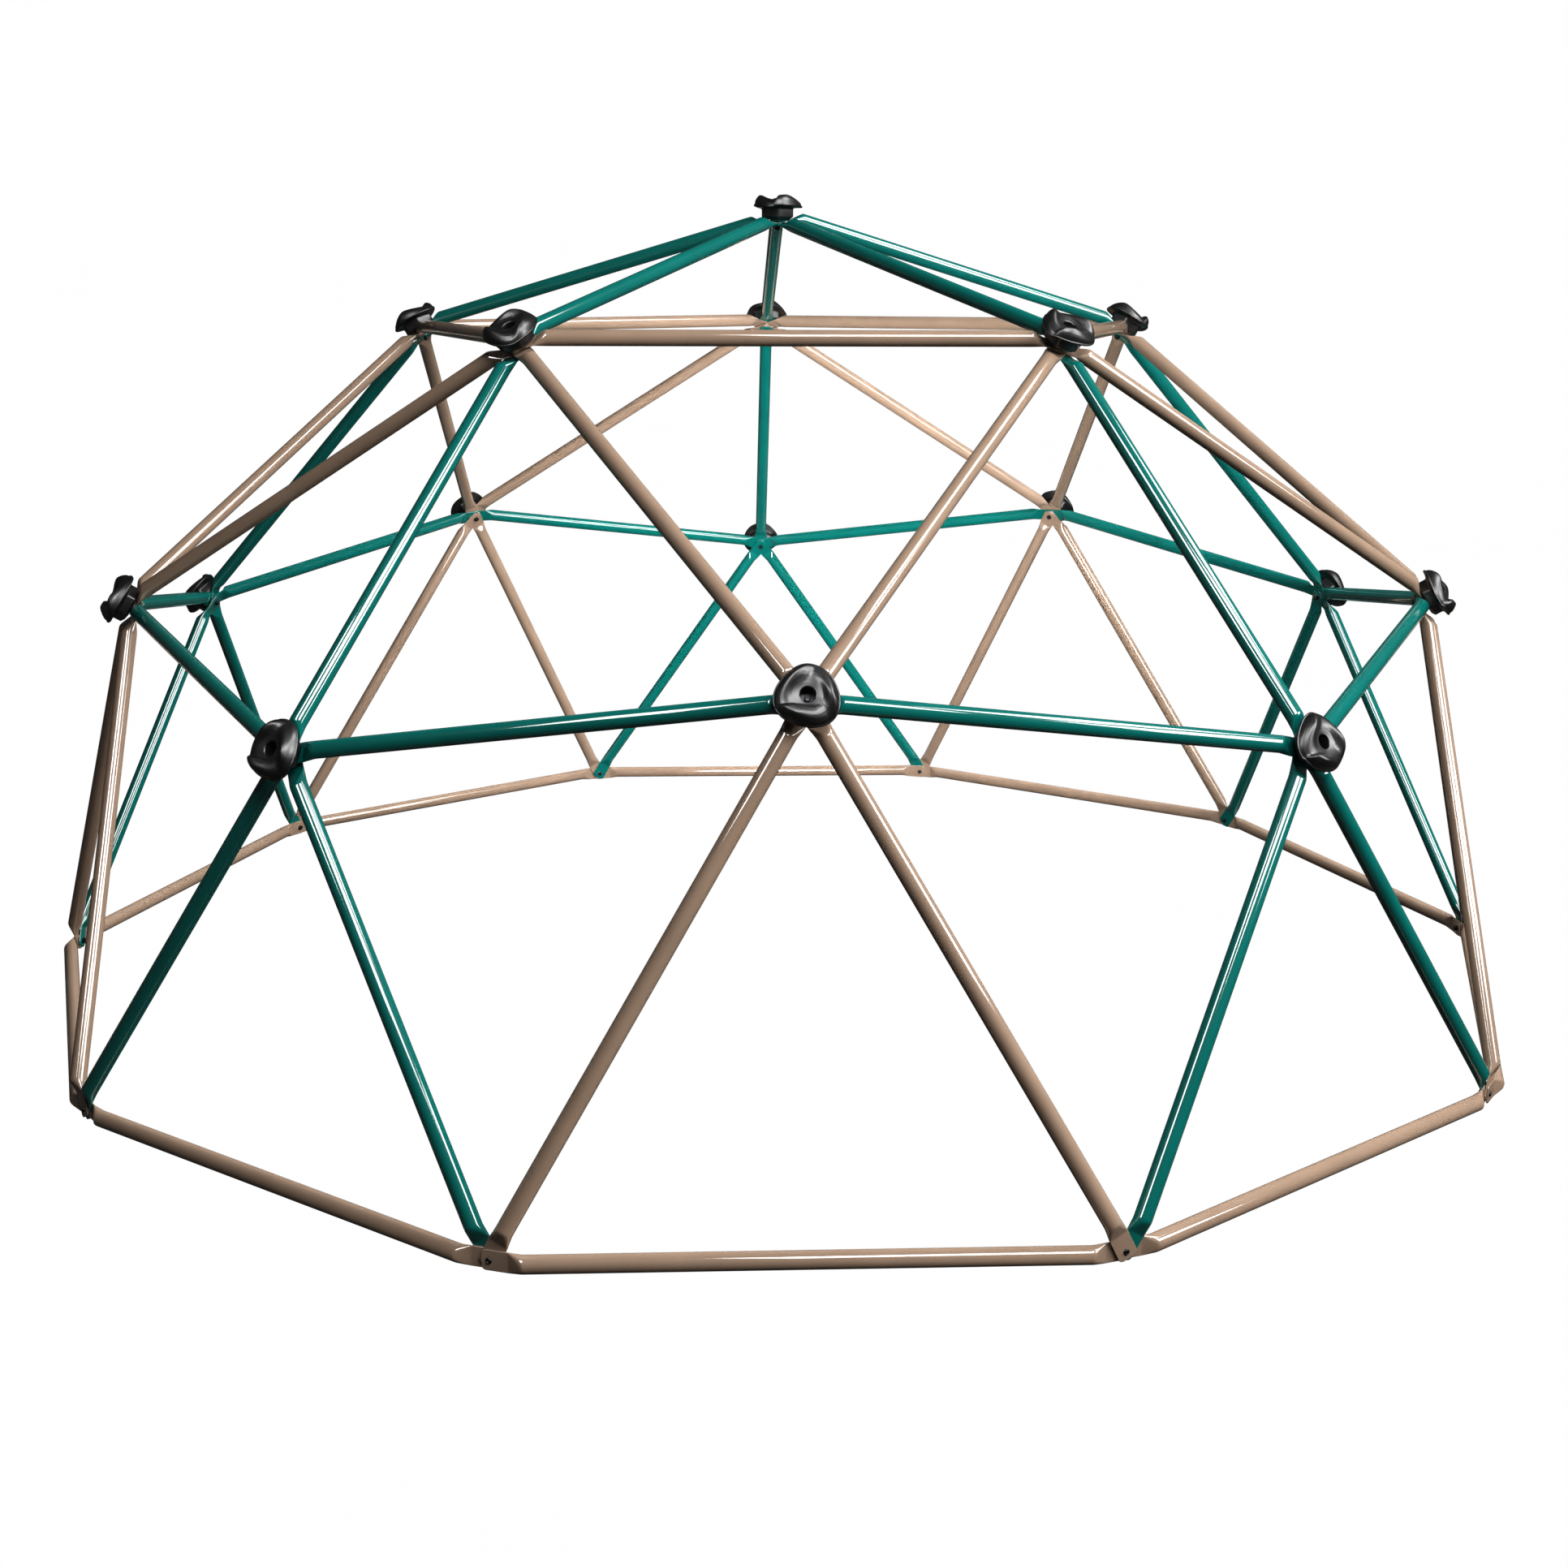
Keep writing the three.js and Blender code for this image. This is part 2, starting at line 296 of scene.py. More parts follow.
def skin_rings(mesh_data, rings, skip=()):
    """Joins rings of equally many vertices with quads, except at the (gap, column) pairs in skip."""
    columns = len(rings[0])
    for gap in range(len(rings) - 1):
        for column in range(columns):
            if (gap, column) in skip:
                continue
            after = (column + 1) % columns
            mesh_data.faces.new((
                rings[gap][column], rings[gap][after],
                rings[gap + 1][after], rings[gap + 1][column],
            ))


# --- Tubes with pressed ends ----------------------------------------------------------------

# Columns of the tube's skin. Two on top and two below form the flat faces of the pressed end,
# and the rest go round its edges and the tube's sides.
FLAT_HALF_ANGLE = math.radians(5)
SIDE_COLUMNS = 20
COLUMNS = 2 * (2 + SIDE_COLUMNS)
TOP_COLUMNS = (SIDE_COLUMNS, SIDE_COLUMNS + 1)
BOTTOM_COLUMNS = (2 * SIDE_COLUMNS + 2, 2 * SIDE_COLUMNS + 3)

# The tab's end has round corners here. The CAD part's tabs have smaller, chamfered ones.
TAB_CORNER = 6.4 * MM

# Where the tab's rings lie, in millimetres from its end, and the neck's rings as shares of its length.
TAB_END_STEPS = (0.0, 0.2, 0.8, 1.8, 3.2, 5.0, 7.0)
NECK_SHARES = (0.3, 0.5, 0.7)
FOLD_ROUNDING = 1.6 * MM
NECK_ROUNDING = 3.0 * MM
HOLE_SIDES = 28
HOLE_CHAMFER = 0.35 * MM


def column_angles():
    """The columns' angles round the tube: its right side, its top, its left side and its bottom."""
    side = np.linspace(FLAT_HALF_ANGLE, math.pi - FLAT_HALF_ANGLE, SIDE_COLUMNS + 1)
    right = side - math.pi / 2
    left = side + math.pi / 2
    return np.concatenate([right, [math.pi / 2], left, [3 * math.pi / 2]])


ANGLES = column_angles()


def tab_outline(half_width):
    """A tab's section: two flat faces, and edges as round as the folded wall leaves them."""
    radius = TAB_THICKNESS / 2
    straight = half_width - radius
    spread = (math.pi / 2) / (math.pi / 2 - FLAT_HALF_ANGLE)
    middle_columns = (TOP_COLUMNS[1], BOTTOM_COLUMNS[1])
    points = []
    for index, angle in enumerate(ANGLES):
        if index in middle_columns:
            points.append((0.0, math.copysign(radius, math.sin(angle))))
            continue
        side = 1 if index <= SIDE_COLUMNS else -1
        middle = 0.0 if side > 0 else math.pi
        turned = middle + (angle - middle) * spread
        points.append((side * straight + radius * math.cos(turned), radius * math.sin(turned)))
    return np.array(points)


def tube_outline():
    return np.stack([TUBE_RADIUS * np.cos(ANGLES), TUBE_RADIUS * np.sin(ANGLES)], axis=1)


def in_plane(outline, centre, tilt):
    """An outline's points in the tube's own frame, in a plane that leans back by tilt."""
    along = centre[0] - math.sin(tilt) * outline[:, 1]
    outward = centre[1] + math.cos(tilt) * outline[:, 1]
    return np.stack([along, outline[:, 0], outward], axis=1)


def rounded(before, corner_points, after):
    """The middle of a rounded corner, between the rings before and after it."""
    return 0.25 * before + 0.5 * corner_points + 0.25 * after


def pressed_end(half_length, tilt, offset):
    """The rings of the tube's start, from the tab's end to the round tube, and its hole."""
    along = np.array([math.cos(tilt), math.sin(tilt)])
    normal = np.array([-math.sin(tilt), math.cos(tilt)])
    hole = np.array([-half_length, 0.0]) + normal * offset
    rings = []
    for step in TAB_END_STEPS:
        distance = step * MM
        inset = TAB_CORNER - math.sqrt(TAB_CORNER**2 - (TAB_CORNER - distance)**2)
        centre = hole + along * (distance - HOLE_TO_TAB_END)
        rings.append(in_plane(tab_outline(TAB_WIDTH / 2 - inset), centre, tilt))
    wide = tab_outline(TAB_WIDTH / 2)
    fold = hole + along * HOLE_TO_FOLD
    neck = fold + np.array([FOLD_TO_ROUND_TUBE, TAB_BELOW_TUBE_AXIS])
    fold_ring = in_plane(wide, fold, tilt)
    neck_ring = in_plane(tube_outline(), neck, 0.0)

    def ruled(share):
        return (1 - share) * fold_ring + share * neck_ring

    before_fold = in_plane(wide, fold - along * FOLD_ROUNDING, tilt)
    after_fold = ruled(FOLD_ROUNDING / FOLD_TO_ROUND_TUBE)
    before_neck = ruled(1 - NECK_ROUNDING / FOLD_TO_ROUND_TUBE)
    after_neck = in_plane(tube_outline(), neck + np.array([NECK_ROUNDING, 0.0]), 0.0)
    rings += [before_fold, rounded(before_fold, fold_ring, after_fold), after_fold]
    rings += [ruled(share) for share in NECK_SHARES]
    rings += [before_neck, rounded(before_neck, neck_ring, after_neck), after_neck]
    return rings, (hole, normal)


def closed_edges(mesh_data, verts):
    """The edges of a closed loop of vertices, made where they aren't there yet."""
    edges = []
    for one, two in zip(verts, verts[1:] + verts[:1]):
        edges.append(mesh_data.edges.get((one, two)) or mesh_data.edges.new((one, two)))
    return edges


def cut_hole(mesh_data, rings, gap, hole):
    """Fills a tab's two open faces round a bolt hole, and walls the hole between them."""
    centre, normal = hole
    along = np.array([normal[1], -normal[0]])
    loops = []
    for level, radius in (
        (TAB_THICKNESS / 2, BOLT_HOLE_RADIUS + HOLE_CHAMFER),
        (TAB_THICKNESS / 2 - HOLE_CHAMFER, BOLT_HOLE_RADIUS),
        (HOLE_CHAMFER - TAB_THICKNESS / 2, BOLT_HOLE_RADIUS),
        (-TAB_THICKNESS / 2, BOLT_HOLE_RADIUS + HOLE_CHAMFER),
    ):
        loop = []
        for step in range(HOLE_SIDES):
            angle = math.tau * step / HOLE_SIDES
            flat = centre + normal * level + along * radius * math.cos(angle)
            loop.append(mesh_data.verts.new((flat[0], radius * math.sin(angle), flat[1])))
        loops.append(loop)
    skin_rings(mesh_data, loops)
    for loop, columns in ((loops[0], TOP_COLUMNS), (loops[-1], BOTTOM_COLUMNS)):
        across = [columns[0], columns[1], (columns[1] + 1) % COLUMNS]
        outer = [rings[gap][c] for c in across] + [rings[gap + 1][c] for c in reversed(across)]
        edges = closed_edges(mesh_data, outer) + closed_edges(mesh_data, loop)
        bmesh.ops.triangle_fill(mesh_data, use_beauty=True, edges=edges)


def mirrored(points):
    """The same ring at the tube's other end, with its columns still in the same order."""
    return points * np.array([-1, 1, 1])


def build_tube(name, start, end, material):
    """One tube between two joints, with both of its ends pressed, bent and drilled."""
    start_centre = joint_centre(start)
    end_centre = joint_centre(end)
    out_start = JOINTS[start][0]
    out_end = JOINTS[end][0]
    half_length = (end_centre - start_centre).length / 2
    half_angle = out_start.angle(out_end) / 2
    start_rings, start_hole = pressed_end(half_length, half_angle, layer_offset(start, end))
    end_rings, end_hole = pressed_end(half_length, half_angle, layer_offset(end, start))
    flip = np.array([-1, 1])
    end_hole = (end_hole[0] * flip, end_hole[1] * flip)
    points = start_rings + [mirrored(ring) for ring in reversed(end_rings)]
    mesh_data = bmesh.new()
    rings = [[mesh_data.verts.new(point) for point in ring] for ring in points]
    first_gap = len(TAB_END_STEPS) - 1
    last_gap = len(rings) - 2 - first_gap
    open_columns = TOP_COLUMNS + BOTTOM_COLUMNS
    skip = {(gap, column) for gap in (first_gap, last_gap) for column in open_columns}
    skin_rings(mesh_data, rings, skip)
    mesh_data.faces.new(rings[0])
    mesh_data.faces.new(rings[-1])
    cut_hole(mesh_data, rings, first_gap, start_hole)
    cut_hole(mesh_data, rings, last_gap, end_hole)
    along = (end_centre - start_centre).normalized()
    outward = (out_start + out_end).normalized()
    basis = Matrix((along, outward.cross(along), outward)).transposed().to_4x4()
    middle = Matrix.Translation((start_centre + end_centre) / 2)
    return finish_mesh(name, mesh_data, middle @ basis, material)


def add_tube(name, start, end, material, node):
    piece = build_tube(name, start, end, material)
    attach(piece, BODY)
    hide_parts(node)


def add_tube_pair(name, start, ends, material):
    """Two tubes that the CAD part joins in one node; they are separate pieces here."""
    kind, number = name.split("_pair_")
    for side, end in zip("ab", ends):
        add_tube(f"{kind}_{number}{side}", start, end, material, name)


# --- Moulded caps ---------------------------------------------------------------------------

CAP_COLUMNS = 144
CAP_EDGE_BREAK = 0.5 * MM
STEM_SIDES = 6
STEM_FLAT_RADIUS = 29.8 * MM
STEM_SHARPNESS = 26
STEM_HEIGHT = 21 * MM
STEM_FOOT_SHARE = 0.81
STEM_FOOT_HEIGHT = 4.5 * MM
STEM_FLARE = 4 * MM
STEM_FLARE_STEPS = 4
UNDERSIDE_SHARES = (0.25, 0.5, 0.75, 0.93)
RIM_RADIUS = 49 * MM
RIM_THICKNESS = 3.4 * MM
RIM_RINGS = 7
TOP_RINGS = 34
BORE_RADIUS = 11 * MM
BORE_FLOOR = 14 * MM
MOUTH_ROUNDING = 2 * MM
MOUTH_STEPS = 4
CAP_HOLE_RADIUS = 4.4 * MM
CAP_HOLE_CHAMFER = 0.4 * MM
APEX_CAP_TURN = math.radians(60)
PETALS = 3

# Inside this radius the top's rings are round. Outside it they follow the rim's lobes.
ROUND_TOP_RADIUS = 2 * BORE_RADIUS

# The top of the cap without its petals, in millimetres, from the bore's mouth to the rim.
TOP_RADII = (11, 13, 17, 22, 28, 34, 39, 43, 46.5, 49)
TOP_HEIGHTS = (34.2, 35.2, 35.8, 36.2, 36.4, 35.8, 34.2, 31.6, 28.4, 24.8)

# How much of a petal's full height there is at each radius, in millimetres.
PETAL_RADII = (11, 15, 22, 30, 37, 43, 47, 49)
PETAL_SHARES = (0.0, 0.12, 0.45, 0.86, 1.0, 0.78, 0.46, 0.34)
PETAL_HEIGHT = 10.5 * MM

# A petal rises from a crease that passes close by the bore, and sinks away beyond it. The first
# petal's crease is the sharpest.
CREASE_OFFSET = 8 * MM
CREASE_RISE = 24 * MM
SHARP_PETAL = 0
SHARP_CREASE_START = 5 * MM
SHARP_CREASE_END = 12 * MM
SHARP_CREASE_SHARE = 0.75
CREASE_FADE_START = -22 * MM
CREASE_FADE_END = 30 * MM
PETAL_FALL = 70 * MM

# The rim is a little wider where each crease meets it.
RIM_LOBE = 4.8 * MM
RIM_LOBE_ANGLE = math.radians(78)


def smooth_step(value, low, high):
    share = np.clip((value - low) / (high - low), 0, 1)
    return share * share * (3 - 2 * share)


def petal_lift(x, y):
    """How much the three petals raise the cap's top at a point, in metres."""
    radius = np.hypot(x, y)
    lift = np.zeros_like(radius)
    for petal in range(PETALS):
        turn = math.tau * petal / PETALS
        along = x * math.cos(turn) + y * math.sin(turn)
        beyond = x * math.sin(turn) - y * math.cos(turn) - CREASE_OFFSET
        rise = smooth_step(beyond, 0, CREASE_RISE)
        if petal == SHARP_PETAL:
            step = smooth_step(beyond, SHARP_CREASE_START, SHARP_CREASE_END)
            rise += SHARP_CREASE_SHARE * (step - rise)
        fade = 1 - smooth_step(along, CREASE_FADE_START, CREASE_FADE_END)
        fall = np.clip(1 - np.maximum(beyond - CREASE_RISE, 0) / PETAL_FALL, 0, 1)
        lift += rise * fade * fall
    share = np.interp(radius / MM, PETAL_RADII, PETAL_SHARES)
    return PETAL_HEIGHT * share * lift


def top_height(x, y):
    radius = np.hypot(x, y)
    return np.interp(radius / MM, TOP_RADII, TOP_HEIGHTS) * MM + petal_lift(x, y)


def rim_radius(angles):
    lobes = np.cos(PETALS * (angles - RIM_LOBE_ANGLE))
    return RIM_RADIUS - RIM_LOBE * (1 - lobes) / 2


def stem_radius(angles):
    """A hexagon with rounded corners."""
    total = np.zeros_like(angles)
    for side in range(STEM_SIDES):
        facing = np.cos(angles - side * math.tau / STEM_SIDES)
        total += np.maximum(facing, 0) ** STEM_SHARPNESS
    return STEM_FLAT_RADIUS * total ** (-1 / STEM_SHARPNESS)


def cap_rings():
    """The cap's skin as rings: seat, stem, rim's underside, top, bore and bolt hole."""
    angles = np.arange(CAP_COLUMNS) * math.tau / CAP_COLUMNS
    cosines, sines = np.cos(angles), np.sin(angles)
    stem = stem_radius(angles)
    rim = rim_radius(angles)
    rings = []

    def add(radius, height):
        radius = np.broadcast_to(radius, angles.shape)
        height = np.broadcast_to(height, angles.shape)
        rings.append(np.stack([radius * cosines, radius * sines, height], axis=1))

    def add_top(radius):
        wide = radius * rim / RIM_RADIUS if radius > ROUND_TOP_RADIUS else radius
        add(wide, top_height(radius * cosines, radius * sines))

    add(CAP_HOLE_RADIUS, 0.0)
    add(stem * STEM_FOOT_SHARE, 0.0)
    add(stem - CAP_EDGE_BREAK, STEM_FOOT_HEIGHT - CAP_EDGE_BREAK)
    add(stem, STEM_FOOT_HEIGHT + CAP_EDGE_BREAK)

    flare_start = STEM_HEIGHT - STEM_FLARE
    for turn in np.linspace(0, math.pi / 2, STEM_FLARE_STEPS + 1):
        add(stem + STEM_FLARE * (1 - math.cos(turn)), flare_start + STEM_FLARE * math.sin(turn))

    rim_height = top_height(RIM_RADIUS * cosines, RIM_RADIUS * sines)
    underside = rim_height - RIM_THICKNESS
    flare_end = stem + STEM_FLARE
    for share in UNDERSIDE_SHARES:
        add(flare_end + share * (rim - flare_end), STEM_HEIGHT + share * (underside - STEM_HEIGHT))

    rounding = RIM_THICKNESS / 2
    for turn in np.linspace(-math.pi / 2, math.pi / 2, RIM_RINGS):
        add(rim - rounding * (1 - math.cos(turn)), rim_height - rounding * (1 - math.sin(turn)))

    mouth_radius = BORE_RADIUS + MOUTH_ROUNDING
    for radius in np.linspace(RIM_RADIUS - RIM_THICKNESS, mouth_radius, TOP_RINGS):
        add_top(radius)

    mouth_height = top_height(mouth_radius * cosines, mouth_radius * sines)
    for turn in np.linspace(0, math.pi / 2, MOUTH_STEPS + 1)[1:]:
        drop = MOUTH_ROUNDING * (1 - math.cos(turn))
        add(mouth_radius - MOUTH_ROUNDING * math.sin(turn), mouth_height - drop)

    add(BORE_RADIUS, BORE_FLOOR + CAP_EDGE_BREAK)
    add(BORE_RADIUS - CAP_EDGE_BREAK, BORE_FLOOR)
    add(CAP_HOLE_RADIUS + CAP_HOLE_CHAMFER, BORE_FLOOR)
    add(CAP_HOLE_RADIUS, BORE_FLOOR - CAP_HOLE_CHAMFER)
    return rings


CAP_RINGS = cap_rings()


def add_cap(joint):
    mesh_data = bmesh.new()
    rings = [[mesh_data.verts.new(point) for point in ring] for ring in CAP_RINGS]
    skin_rings(mesh_data, rings + rings[:1])
    seat = Matrix.Translation((0, 0, stack_half_depth(joint) + CAP_SEAT_GAP))
    turn = Matrix.Rotation(APEX_CAP_TURN if joint == "apex" else 0.0, 4, "Z")
    piece = finish_mesh(f"cap_{joint}", mesh_data, joint_frame(joint) @ seat @ turn, BLACK)
    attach(piece, BODY)
    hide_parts(f"hub_cap_{joint}")


# --- Bolts, washers and nuts ----------------------------------------------------------------

FASTENER_COLUMNS = 36
BOLT_RADIUS = 3.175 * MM
HEAD_RADIUS = 4.8 * MM
HEAD_HEIGHT = 2.4 * MM
HEAD_CROWN_TURNS = np.radians([20, 40, 60])
HEAD_CROWN_RADIUS = 2.6 * MM
HEAD_TOP_RADIUS = 3.4 * MM
SOCKET_FLAT_RADIUS = 2.0 * MM
SOCKET_DEPTH = 1.8 * MM
WASHER_RADIUS = 8.0 * MM
WASHER_HOLE_RADIUS = 3.5 * MM
WASHER_THICKNESS = 1.2 * MM
NUT_FLAT_RADIUS = 5.0 * MM
NUT_HEIGHT = 5.5 * MM
BOLT_PAST_NUT = 1.5 * MM
EDGE_BREAK = 0.3 * MM
BOLT_TIP_CHAMFER = 2 * EDGE_BREAK
NUT_CHAMFER = 3 * EDGE_BREAK
SEATING_GAP = 0.05 * MM


def hexagon(flat_radius, angles):
    """The distance from a hexagon's middle to its outline."""
    sixth = math.pi / 3
    return flat_radius / np.cos((angles + sixth / 2) % sixth - sixth / 2)


def add_turned_piece(name, profile, place, node, closed):
    """A piece made of rings round its joint's axis. The profile lists each ring's radius and height."""
    angles = np.arange(FASTENER_COLUMNS) * math.tau / FASTENER_COLUMNS
    mesh_data = bmesh.new()
    rings = []
    for radius, height in profile(angles):
        radius = np.broadcast_to(radius, angles.shape)
        rings.append([
            mesh_data.verts.new((r * math.cos(angle), r * math.sin(angle), height))
            for r, angle in zip(radius, angles)
        ])
    if closed:
        skin_rings(mesh_data, rings + rings[:1])
    else:
        skin_rings(mesh_data, rings)
        mesh_data.faces.new(rings[0])
        mesh_data.faces.new(rings[-1])
    piece = finish_mesh(name, mesh_data, place, STEEL)
    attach(piece, BODY)
    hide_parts(node)


def bolt_profile(seat, tip):
    """A button-head bolt with a hexagonal socket, from its tip to its socket's floor."""
    def profile(angles):
        top = seat + HEAD_HEIGHT
        crown_start = seat + 2 * EDGE_BREAK
        socket = hexagon(SOCKET_FLAT_RADIUS, angles)
        rings = [
            (BOLT_RADIUS - BOLT_TIP_CHAMFER, tip),
            (BOLT_RADIUS, tip + BOLT_TIP_CHAMFER),
            (BOLT_RADIUS, seat),
            (HEAD_RADIUS - EDGE_BREAK, seat),
            (HEAD_RADIUS, seat + EDGE_BREAK),
            (HEAD_RADIUS, crown_start),
        ]
        for turn in HEAD_CROWN_TURNS:
            rings.append((
                HEAD_RADIUS - HEAD_CROWN_RADIUS * (1 - math.cos(turn)),
                crown_start + (top - crown_start) * math.sin(turn),
            ))
        rings += [
            (HEAD_TOP_RADIUS, top),
            (socket + EDGE_BREAK, top),
            (socket, top - EDGE_BREAK),
            (socket, top - SOCKET_DEPTH),
        ]
        return rings
    return profile


def washer_profile(bottom):
    """A flat washer with its outer edges broken."""
    def profile(_):
        top = bottom + WASHER_THICKNESS
        return [
            (WASHER_HOLE_RADIUS, bottom),
            (WASHER_RADIUS - EDGE_BREAK, bottom),
            (WASHER_RADIUS, bottom + EDGE_BREAK),
            (WASHER_RADIUS, top - EDGE_BREAK),
            (WASHER_RADIUS - EDGE_BREAK, top),
            (WASHER_HOLE_RADIUS, top),
        ]
    return profile


def nut_profile(top):
    """A hexagonal nut. Its corners are turned off at both faces, as if by a cone."""
    def profile(angles):
        flats = hexagon(NUT_FLAT_RADIUS, angles)
        turned = np.minimum(flats, NUT_FLAT_RADIUS + EDGE_BREAK)
        bore = BOLT_RADIUS + SEATING_GAP
        bottom = top - NUT_HEIGHT
        return [
            (bore, bottom),
            (turned - EDGE_BREAK, bottom),
            (flats, bottom + NUT_CHAMFER),
            (flats, top - NUT_CHAMFER),
            (turned - EDGE_BREAK, top),
            (bore, top),
        ]
    return profile


def add_fasteners(joint, node):
    """The joint's bolt and nut, and the washer in its cap's bore if it has a cap."""
    place = joint_frame(joint)
    half_depth = stack_half_depth(joint)
    nut_top = -half_depth - SEATING_GAP
    tip = nut_top - NUT_HEIGHT - BOLT_PAST_NUT
    seat = half_depth + SEATING_GAP
    if not joint.startswith("ground"):
        washer_bottom = half_depth + CAP_SEAT_GAP + BORE_FLOOR + SEATING_GAP
        add_turned_piece(f"washer_{joint}", washer_profile(washer_bottom), place, node, True)
        seat = washer_bottom + WASHER_THICKNESS + SEATING_GAP
    add_turned_piece(f"bolt_{joint}", bolt_profile(seat, tip), place, node, False)
    add_turned_piece(f"nut_{joint}", nut_profile(nut_top), place, node, True)


# --- The assembly ---------------------------------------------------------------------------

add_cap("apex")
for k in range(1, SECTORS + 1):
    add_cap(upper(k))
    add_cap(corner(k))
    add_cap(face(k))
    add_tube(f"apex_spoke_{k}", "apex", upper(k), TEAL, f"apex_tube_{k}")
    add_tube(f"upper_ring_{k}", upper(k), upper(k + 1), TAN, f"upper_ring_tube_{k}")
    add_tube(f"shoulder_{k}", upper(k), corner(k), TEAL, f"shoulder_tube_{k}")
    add_tube_pair(f"upper_tube_pair_{k}", face(k), (upper(k), upper(k + 1)), TAN)
    add_tube_pair(f"belt_tube_pair_{k}", corner(k), (face(k), face(k - 1)), TEAL)
    add_tube_pair(f"teal_leg_pair_{k}", corner(k), (ground(2 * k - 1), ground(2 * k)), TEAL)
    add_tube_pair(f"tan_leg_pair_{k}", face(k), (ground(2 * k), ground(2 * k + 1)), TAN)
    add_tube_pair(f"ground_tube_pair_{k}", ground(2 * k - 1), (ground(2 * k - 2), ground(2 * k)), TAN)

for joint in JOINTS:
    if joint.startswith("ground"):
        pair = (int(joint.rsplit("_", 1)[1]) + 1) // 2
        add_fasteners(joint, f"ground_tube_pair_{pair}")
    else:
        add_fasteners(joint, f"hub_cap_{joint}")

# --- The studio -----------------------------------------------------------------------------

STUDIO_SIZE = 60.0
FLOOR_DROP = 0.2 * MM
WORLD_BRIGHTNESS = 0.03
LAMP_TARGET = Vector((0, 0, 0.6))
SOFTBOX_DISTANCE = 5.5

# The soft lamps round the dome. The left one only makes highlights, and the back ones make none.
# Name, then azimuth, elevation, width and height in degrees seen from the dome, then brightness,
# whether it lights the paint, and whether it makes highlights.
SOFTBOXES = (
    ("left_softbox", -122, 38, 14, 24, 16, False, True),
    ("front_softbox", -72, 42, 28, 20, 15, True, True),
    ("high_softbox", -18, 50, 28, 16, 16, True, True),
    ("right_softbox", -32, 24, 26, 20, 16, True, True),
    ("back_softbox_45", 45, 30, 40, 30, 12, True, False),
    ("back_softbox_95", 95, 30, 40, 30, 12, True, False),
)

INNER_LAMP_PLACE = (0.15, -0.75, 0.75)
INNER_LAMP_SIZE = (0.7, 0.5)
INNER_LAMP_POWER = 22
INNER_LAMP_SPREAD = math.radians(85)
INNER_LAMP_TILT = math.radians(4)

CAMERA_PLACE = (-0.1296, -3.8622, 1.3476)
CAMERA_PITCH = -0.2178
CAMERA_YAW = 0.0278
CAMERA_SENSOR_WIDTH = 36
CAMERA_LENS = 44.80
CAMERA_SHIFT_X = 0.01157
CAMERA_SHIFT_Y = -0.0469
CAMERA_RANGE = 100


def add_studio_sheet(name, corners, material):
    """A sheet of white paper that only the camera sees, so that the tubes reflect the lights alone."""
    mesh = bpy.data.meshes.new(name)
    mesh.from_pydata(corners, [], [(0, 1, 2, 3)])
    mesh.materials.append(material)
    sheet = bpy.data.objects.new(name, mesh)
    bpy.context.scene.collection.objects.link(sheet)
    sheet.visible_diffuse = False
    sheet.visible_glossy = False
    sheet.visible_shadow = False


def add_studio():
    """A white floor, and white paper all round it."""
    half = STUDIO_SIZE / 2
    low = cad_low.z - FLOOR_DROP
    material = studio_white("studio_white")
    floor = [(-half, -half, low), (half, -half, low), (half, half, low), (-half, half, low)]
    add_studio_sheet("floor", floor, material)
    for side in range(4):
        one = floor[side]
        two = floor[(side + 1) % 4]
        raised = [(x, y, low + half) for x, y, _ in (two, one)]
        add_studio_sheet(f"backdrop_{side + 1}", [one, two, *raised], material)


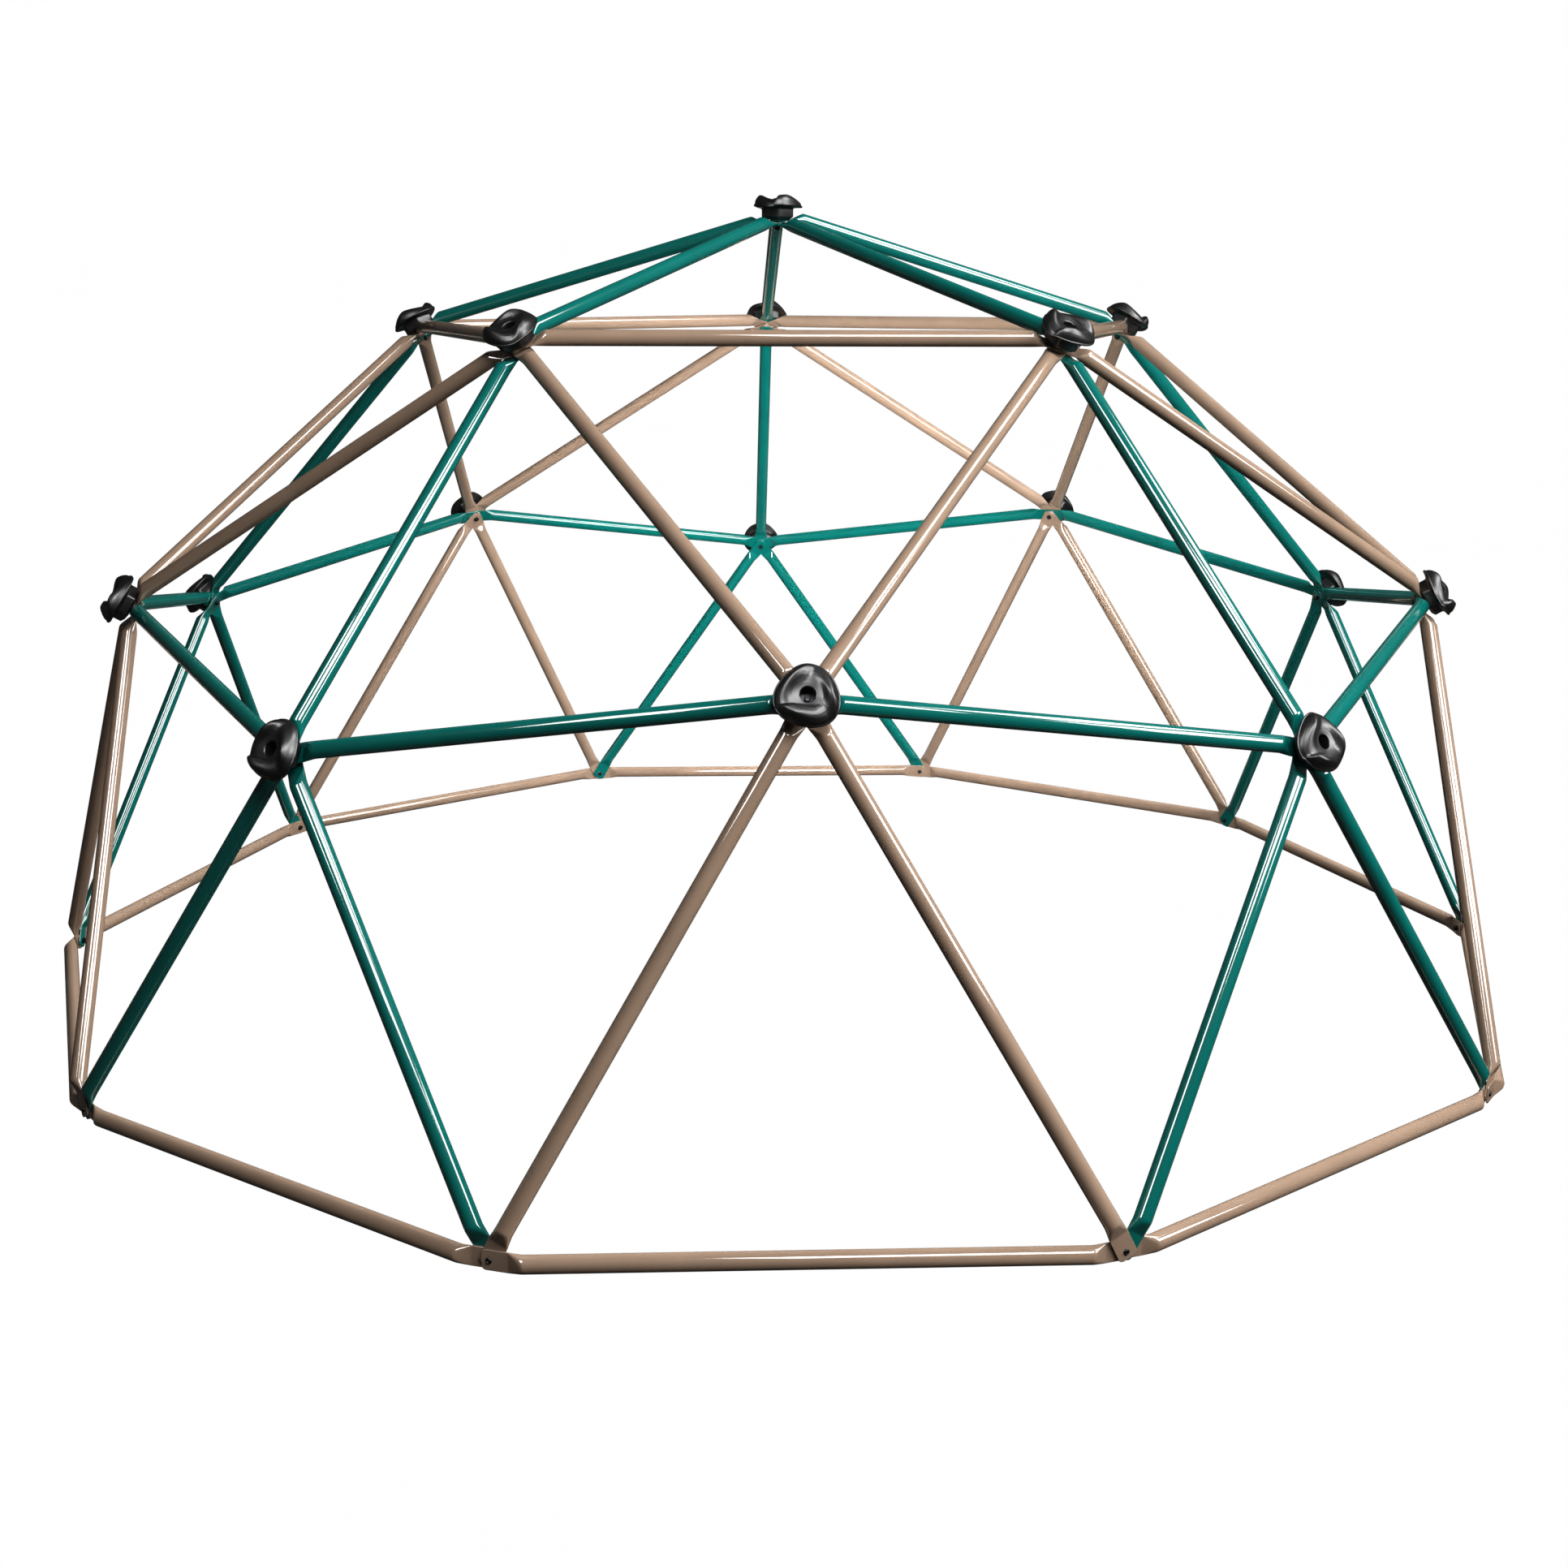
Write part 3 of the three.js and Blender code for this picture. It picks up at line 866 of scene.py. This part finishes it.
def add_softbox(name, azimuth, elevation, width, height, brightness, lights_paint, makes_highlights):
    """A soft lamp that faces the dome. Its place and its size are angles in degrees."""
    light = bpy.data.lights.new(name, "AREA")
    light.shape = "RECTANGLE"
    light.size = 2 * SOFTBOX_DISTANCE * math.tan(math.radians(width / 2))
    light.size_y = 2 * SOFTBOX_DISTANCE * math.tan(math.radians(height / 2))
    light.energy = math.pi * light.size * light.size_y * brightness
    lamp = bpy.data.objects.new(name, light)
    aim = direction(math.radians(90 - elevation), math.radians(azimuth))
    lamp.location = LAMP_TARGET + aim * SOFTBOX_DISTANCE
    lamp.rotation_euler = (-aim).to_track_quat("-Z", "Y").to_euler()
    lamp.visible_diffuse = lights_paint
    lamp.visible_glossy = makes_highlights
    bpy.context.scene.collection.objects.link(lamp)


def add_inner_lamp():
    """A lamp inside the dome that points to its back half and slightly down. The camera can't see it."""
    light = bpy.data.lights.new("inner_softbox", "AREA")
    light.shape = "RECTANGLE"
    light.size, light.size_y = INNER_LAMP_SIZE
    light.energy = INNER_LAMP_POWER
    light.spread = INNER_LAMP_SPREAD
    lamp = bpy.data.objects.new("inner_softbox", light)
    lamp.location = INNER_LAMP_PLACE
    lamp.rotation_euler = (math.pi / 2 - INNER_LAMP_TILT, 0, 0)
    lamp.visible_camera = False
    bpy.context.scene.collection.objects.link(lamp)


def add_world():
    """Faint white light from all sides."""
    world = bpy.data.worlds.new("studio")
    world.use_nodes = True
    background = world.node_tree.nodes["Background"]
    background.inputs["Color"].default_value = (1, 1, 1, 1)
    background.inputs["Strength"].default_value = WORLD_BRIGHTNESS
    bpy.context.scene.world = world


def add_camera():
    """A camera in front of the dome, a little left of its middle, that looks down slightly."""
    view = bpy.data.cameras.new("camera")
    view.sensor_width = CAMERA_SENSOR_WIDTH
    view.lens = CAMERA_LENS
    view.shift_x = CAMERA_SHIFT_X
    view.shift_y = CAMERA_SHIFT_Y
    view.clip_end = CAMERA_RANGE
    camera = bpy.data.objects.new("camera", view)
    camera.location = CAMERA_PLACE
    camera.rotation_euler = (math.pi / 2 + CAMERA_PITCH, 0, -CAMERA_YAW)
    bpy.context.scene.collection.objects.link(camera)
    bpy.context.scene.camera = camera


add_studio()
add_world()
for softbox in SOFTBOXES:
    add_softbox(*softbox)
add_inner_lamp()
add_camera()
bpy.context.scene.view_settings.view_transform = "Standard"
